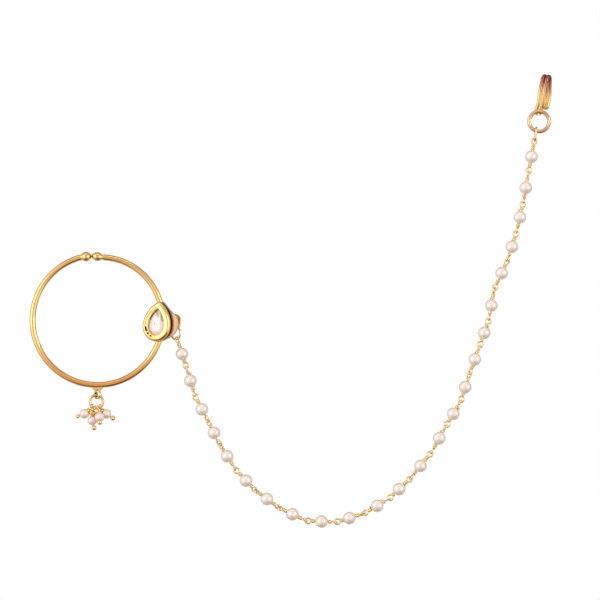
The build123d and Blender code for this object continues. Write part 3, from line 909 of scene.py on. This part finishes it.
def make_charm_base():
    """The solder base: a wedge under the hoop, with a dark disc on its front painted as the shade of a
    hollow, and its eyelet.
    """
    base = add_circle("charm base", hoop_foot - UP, FRONT, UP, 1, len(BASE_OUTLINE))
    open_edit(base)
    bpy.ops.mesh.select_all(action="SELECT")
    for _ in BASE_LAYERS[1:]:
        bpy.ops.mesh.extrude_region_move()
    bpy.ops.object.mode_set(mode="OBJECT")
    middle = Vector((0, 0, -1.1))
    for layer, (depth, share) in enumerate(BASE_LAYERS):
        for number, (x, z) in enumerate(BASE_OUTLINE):
            spot = hoop_foot + middle + (Vector((x, 0, z)) - middle) * share - FRONT * depth
            base.data.vertices[layer * len(BASE_OUTLINE) + number].co = spot * MM
    open_edit(base)
    close_up(base)
    rounding = base.modifiers.new("rounding", "BEVEL")
    rounding.width = 0.12 * MM
    rounding.segments = 2
    rounding.limit_method = "ANGLE"
    rounding.angle_limit = radians(40)
    apply_modifiers(base)
    smooth(base, 50)
    put_on(base, wire_gold)
    notch = turn_up("base notch", hoop_foot - UP * 1.72 + FRONT * 0.5, FRONT,
                    [(0.0, 0.1), (0.0, 0.26), (0.14, 0.28), (0.18, 0.26), (0.18, 0.1)], 12, 0)
    # The notch is painted dark as shade.
    put_on(notch, shade_painted_gold)
    eye_middle = charm_eye - UP * CHARM_EYE_SAG
    eye = add_ring("charm eyelet", eye_middle, UP, charm_face, CHARM_EYE_RADIUS, CHARM_EYE_WIRE, 0,
                   flat=CHARM_EYE_BREADTH)
    put_on(eye, wire_gold, shade_painted_gold)
    # Painted shade inside the eyelet's hole.
    for face in eye.data.polygons:
        off = face.center / MM - eye_middle
        if (off - charm_face * off.dot(charm_face)).length < 0.88:
            face.material_index = 1
    return join("charm_base", [base, notch, eye])


seat(make_charm_base(), "gold", "hoop")

charm_ring_top = charm_eye - UP * CHARM_RING_DROP
charm_ring_centre = charm_ring_top - UP * CHARM_RING_RADIUS - Vector((CHARM_RING_SWING, 0, 0))
charm_ring = add_ring("charm_ring", charm_ring_centre, in_front_plane(150), FRONT, CHARM_RING_RADIUS,
                      CHARM_RING_WIRE)
put_on(charm_ring, ring_gold)
seat(charm_ring, "gold", "charm_jump_ring")

# ---- Pearls ---------------------------------------------------------------------------------------------


def make_pearl_bead(name, radius, bore):
    """A bead about the origin, its thread along Z: a ball with a shallow closed dimple at each pole."""
    let_go()
    bpy.ops.mesh.primitive_uv_sphere_add(segments=40, ring_count=24, radius=radius * MM, location=(0, 0, 0))
    bead = bpy.context.object
    bead.name = bead.data.name = name
    open_edit(bead)
    bpy.ops.mesh.select_all(action="DESELECT")
    bpy.ops.object.mode_set(mode="OBJECT")
    for vertex in bead.data.vertices:
        vertex.select = (vertex.co.x ** 2 + vertex.co.y ** 2) ** 0.5 < bore * 0.7 * MM
    open_edit(bead)
    bpy.ops.mesh.delete(type="VERT")
    bpy.ops.object.mode_set(mode="OBJECT")
    # The open rims are drawn in and down to a dimple, which is then closed
    open_edit(bead, "EDGE")
    select_rims()
    bpy.ops.mesh.extrude_edges_move()
    bpy.ops.transform.resize(value=(0.92, 0.92, 0.8), center_override=(0, 0, 0))
    bpy.ops.mesh.select_all(action="SELECT")
    bpy.ops.mesh.normals_make_consistent(inside=False)
    close_up(bead)
    smooth(bead, 50)
    return bead


def copy_bead(model, name, middle, thread, skin, stretch=(1, 1, 1)):
    """A copy of the bead with its own mesh, laid in its place along its thread."""
    bead = bpy.data.objects.new(name, model.data.copy())
    bead.data.name = name
    scene.collection.objects.link(bead)
    turn = facing(FRONT + UP * 0.3, thread).to_4x4()
    bead.data.transform(Matrix.Translation(middle * MM) @ turn @ Matrix.Diagonal((*stretch, 1)))
    put_on(bead, skin)
    return bead


def pin_way(number):
    """The way the pin of a chain pearl points."""
    slope = degrees(atan2(number - LOWEST_PEARL, CHAIN_PULL))
    return in_front_plane(slope + CHAIN_ROWS[number - 1][1])


chain_model = make_pearl_bead("chain bead", PEARL_RADIUS, 0.4)
for number in range(1, len(CHAIN_ROWS) + 1):
    node = f"chain_pearl_{number:02d}"
    # No two pearls are quite round alike
    squeeze = 1 - 0.012 * (number * 7 % 5) / 4
    bead = copy_bead(chain_model, f"pearl_{number:02d}", middle_of(node), pin_way(number), chain_pearl_skin,
                     (squeeze, 1, 1 - 0.01 * (number * 3 % 4) / 3))
    seat(bead, "pearl", node)

charm_model = make_pearl_bead("charm bead", CHARM_PEARL_RADIUS, 0.32)
for number, (_, to_ball, _, _) in enumerate(CHARM_ROWS, start=1):
    node = f"charm_pearl_{number}"
    bead = copy_bead(charm_model, f"charm_bead_{number}", middle_of(node), Vector(to_ball).normalized(),
                     charm_pearl_skin)
    seat(bead, "pearl", node)
for model in (chain_model, charm_model):
    bpy.data.objects.remove(model)

# ---- Chain pins: each one wire with a wrapped eye at both ends ------------------------------------------


def turned(way, turn):
    """The face of an eye on a pin that points way: 0 faces the front, 90 is edge on."""
    return FRONT * cos(radians(turn)) + way.cross(FRONT) * sin(radians(turn))


# The eye is drawn a little wide of its size, as the line keeps inside its points
EYE_SWELL = 1.07
# The wire's end round the neck: its distance from the pin's line, and the room that one turn takes
WRAP_RADIUS, WRAP_PITCH = 0.42, 0.5


def add_eye(middle, outward, face, reach, hand, cut_end):
    """Half a pin: out of the pearl, round its eye, back to the neck and round it, to its cut end."""
    side = face.cross(outward).normalized() * hand
    eye_base = reach - EYE_LENGTH
    eye_middle = middle + outward * (reach - EYE_LENGTH / 2)
    points = [middle + outward * 0.4, middle + outward * (PEARL_RADIUS * 0.7),
              middle + outward * (eye_base - 0.2)]
    for angle in range(-150, 151, 30):
        a = radians(angle)
        points.append(eye_middle + outward * cos(a) * EYE_LENGTH / 2 * EYE_SWELL
                      + side * sin(a) * EYE_WIDTH / 2 * EYE_SWELL + face * hand * 0.12 * angle / 150)
    room = eye_base - PEARL_RADIUS - 0.1
    turns = max(room / WRAP_PITCH, 0.6)
    steps = int(turns * 8) + 1
    for step in range(1, steps + 1):
        share = step / steps
        a = radians(150) + 2 * pi * turns * share
        along = eye_base - 0.12 - (room - 0.1) * share
        points.append(middle + outward * along + (side * sin(a) + face * hand * cos(a)) * WRAP_RADIUS)
    last = points[-1]
    out = (last - middle) - outward * (last - middle).dot(outward)
    points.append(last + out.normalized() * cut_end)
    return points


hang_way = side_ring_out * cos(radians(-70)) + UP * sin(radians(-70))
ring_tangent = hang_way.cross(side_face)
near_face = (ring_tangent - pin_way(1) * ring_tangent.dot(pin_way(1))).normalized()
near_reach = FIRST_REACH
pin_wires = []
for number, (pitch, lean, turn) in enumerate(CHAIN_ROWS, start=1):
    way = pin_way(number)
    middle = middle_of(f"chain_pearl_{number:02d}")
    last = number == len(CHAIN_ROWS)
    far_reach = LAST_REACH if last else pitch / 2 + EYE_OVERLAP
    far_face = turned(way, turn)
    for outward, face, reach, hand, cut_end in ((-way, near_face, near_reach, 1, 0.12 + 0.2 * (number % 3)),
                                                (way, far_face, far_reach, -1, 0.2 + 0.16 * (number % 4))):
        pin_wires.append(bend_wire("pin", add_eye(middle, outward, face, reach, hand, cut_end), PIN_WIRE,
                                   4, 3, 2))
    if not last:
        near_reach = far_reach
        near_face = far_face.cross(pin_way(number + 1)).normalized()

for group in range(6):
    piece = join(f"pins_{group + 1}", pin_wires[group * 8:(group + 1) * 8])
    put_on(piece, wire_gold)
    seat(piece, "gold", f"chain_wires_{group + 1}")

# ---- Charm pins -----------------------------------------------------------------------------------------


# A charm pin's loop on the ring, and its coil: distance from the neck's line, and the room of one turn
LOOP_RADIUS, LOOP_REACH = 0.69, 0.95
COIL_RADIUS, COIL_PITCH = 0.46, 0.42


def make_charm_pin(number, ring_angle, to_ball, ball, swell):
    """A head pin: its ball, its wire through the pearl, and its end coiled round the neck under the loop."""
    pearl = middle_of(f"charm_pearl_{number}")
    to_ball = Vector(to_ball).normalized()
    ring_place = charm_ring_centre + in_front_plane(ring_angle) * CHARM_RING_RADIUS
    ball_middle = pearl + to_ball * (CHARM_PEARL_RADIUS + ball + 0.04)
    bend = pearl - to_ball * 1.55
    neck = (ring_place - bend).normalized()
    ring_way = in_front_plane(ring_angle + 90)
    loop_face = (ring_way - neck * ring_way.dot(neck)).normalized()
    side = loop_face.cross(neck).normalized()
    points = [ball_middle, pearl + to_ball * 1.2, pearl, pearl - to_ball * 1.35, bend + neck * 0.1]
    neck_end = (ring_place - bend).length - LOOP_REACH
    points.append(bend + neck * max(neck_end - 0.1, 0.2))
    for angle in range(-150, 151, 30):
        a = radians(angle)
        points.append(ring_place + (neck * cos(a) + side * sin(a)) * LOOP_RADIUS
                      + loop_face * 0.1 * angle / 150)
    turns = max(neck_end / COIL_PITCH, 2.2)
    steps = int(turns * 8)
    for step in range(steps + 1):
        share = step / steps
        a = radians(150) + 2 * pi * turns * share
        points.append(bend + neck * (neck_end - 0.1 - (neck_end - 0.25) * share)
                      + (side * sin(a) + loop_face * cos(a)) * (COIL_RADIUS + swell * sin(pi * share)))
    pin = bend_wire("charm wire", points, PIN_WIRE, 4, 3, 3)
    head = turn_up("pin ball", ball_middle, to_ball,
                   [(-0.99 * ball, 0.22 * ball), (-0.9 * ball, 0.5 * ball), (-0.5 * ball, 0.93 * ball),
                    (0, 1.07 * ball), (0.5 * ball, 0.93 * ball), (0.88 * ball, 0.52 * ball),
                    (0.97 * ball, 0.2 * ball)], 20)
    put_on(pin, charm_gold)
    put_on(head, wire_gold)
    return join(f"charm_wire_{number}", [pin, head])


for number, row in enumerate(CHARM_ROWS, start=1):
    seat(make_charm_pin(number, *row), "gold", f"charm_pin_{number}")

# ---- End link, end ring and hair hook -------------------------------------------------------------------

LINK_ANGLE, LINK_WIRE = 83, 0.7
LINK_LENGTH, LINK_WIDTH = 4.12, 2.2
# Round bends are drawn this much wide of their size, as the line keeps inside its points
LINK_SWELL, CURL_SWELL, TOP_SWELL = 1.016, 1.02, 1.045
END_RING_RADIUS, END_RING_WIRE = 3.1, 1.2
last_middle = middle_of("chain_pearl_24")
link_way = in_front_plane(LINK_ANGLE)
# The link starts one wire and a hair back from the end of the last pin's eye
link_start = last_middle + way * LAST_REACH - link_way * 0.705
link_face = far_face.cross(link_way).normalized()
link_side = link_face.cross(link_way).normalized()
link_points = []
for number in range(20):
    a = 2 * pi * number / 20
    bend_middle = LINK_LENGTH - LINK_WIDTH / 2 if cos(a) > 0 else LINK_WIDTH / 2
    link_points.append(link_start + link_way * (bend_middle + cos(a) * LINK_WIDTH / 2 * LINK_SWELL)
                       + link_side * sin(a) * LINK_WIDTH / 2 * LINK_SWELL)
end_link = bend_wire("link", link_points, LINK_WIRE, 4, 4, 4, closed=True)
put_on(end_link, ring_gold)
seat(end_link, "gold", "end_link")

end_ring_centre = middle_of("end_ring")
end_ring = add_ring("thick_ring", end_ring_centre, in_front_plane(225), FRONT, END_RING_RADIUS, END_RING_WIRE,
                    1.5, 28)
put_on(end_ring, ring_gold)
seat(end_ring, "gold", "end_ring")

# The hook: where it and its two feet stand on the ring, in degrees; its wire, and the pitch of its strands
HOOK_ANGLE, FOOT_ANGLES = 82, (106, 80)
HOOK_WIRE, HOOK_PITCH = 1.18, 1.35
# Its turn from edge-on and its lean, in degrees; the radius of its bend, and the bend's place
HOOK_TURN, HOOK_LEAN = 27, 9.2
HOOK_TOP_RADIUS, HOOK_DRIFT, HOOK_SHOULDER = 1.3, -0.1, 11.1
# The curl of its feet round the ring
CURL_RADIUS, CURL_START, CURL_END = 1.22, -100, 30
hook_back = flat_turned(180 - HOOK_TURN)
hook_across = hook_back.cross(in_front_plane(90 - HOOK_LEAN)).normalized()
hook_rise = hook_across.cross(hook_back)
hook_base = end_ring_centre + in_front_plane(HOOK_ANGLE) * END_RING_RADIUS
hook_top = HOOK_SHOULDER - HOOK_TOP_RADIUS


def hook_strand(foot_angle, across):
    """One strand of the doubled hook: its foot round the ring, up the front, over, and down the back."""
    foot_way = in_front_plane(foot_angle)
    foot = end_ring_centre + foot_way * END_RING_RADIUS
    points = []
    for angle in range(CURL_START, CURL_END + 1, 20):
        a = radians(angle)
        # The wire's end is drawn thin and hugs the ring
        radius = CURL_RADIUS - 0.3 * min(max(-angle / 90, 0), 1)
        points.append(foot + (foot_way * sin(a) - FRONT * cos(a)) * radius * CURL_SWELL)
    rows = [(0.45, 2.0), (0.1, 3.6), (-0.3, 5.6), (-0.3, 7.6), (HOOK_DRIFT, hook_top - 0.8)]
    for angle in range(180, -1, -30):
        a = radians(angle)
        rows.append((HOOK_DRIFT + HOOK_TOP_RADIUS + cos(a) * HOOK_TOP_RADIUS * TOP_SWELL,
                     hook_top + sin(a) * HOOK_TOP_RADIUS * TOP_SWELL))
    front_count = 5
    rows += [(2.9, hook_top - 1.4), (3.5, 6.4), (3.78, 4.6), (3.6, 3.0), (3.35, 2.0)]
    for number, (out, rise) in enumerate(rows):
        share = min(max(rise / hook_top, 0), 1) if number < front_count else 1
        sideways = (foot - hook_base) * (1 - share) + hook_across * across * share
        points.append(hook_base + sideways + hook_back * out + hook_rise * rise)
    return points


left_strand = hook_strand(FOOT_ANGLES[0], -HOOK_PITCH / 2)
right_strand = hook_strand(FOOT_ANGLES[1], HOOK_PITCH / 2)
fold = (left_strand[-1] + right_strand[-1]) / 2 - hook_rise * 0.75
hook = bend_wire("doubled_hook", left_strand + [fold - hook_across * 0.45, fold + hook_across * 0.45]
                 + right_strand[::-1], HOOK_WIRE, 4, 5, 5, thinning=(0.5, 0.55, 0.62, 0.75, 0.9))
put_on(hook, hook_gold)
seat(hook, "gold", "hair_hook")

# ---- Floor ----------------------------------------------------------------------------------------------

let_go()
bpy.ops.mesh.primitive_plane_add(size=1, location=(0.06, 0.33, -0.2))
floor = bpy.context.object
floor.name = floor.data.name = "floor"
floor.scale = (0.9, 0.6, 1)
bpy.ops.object.transform_apply(location=True, rotation=True, scale=True)
put_on(floor, make_paper())
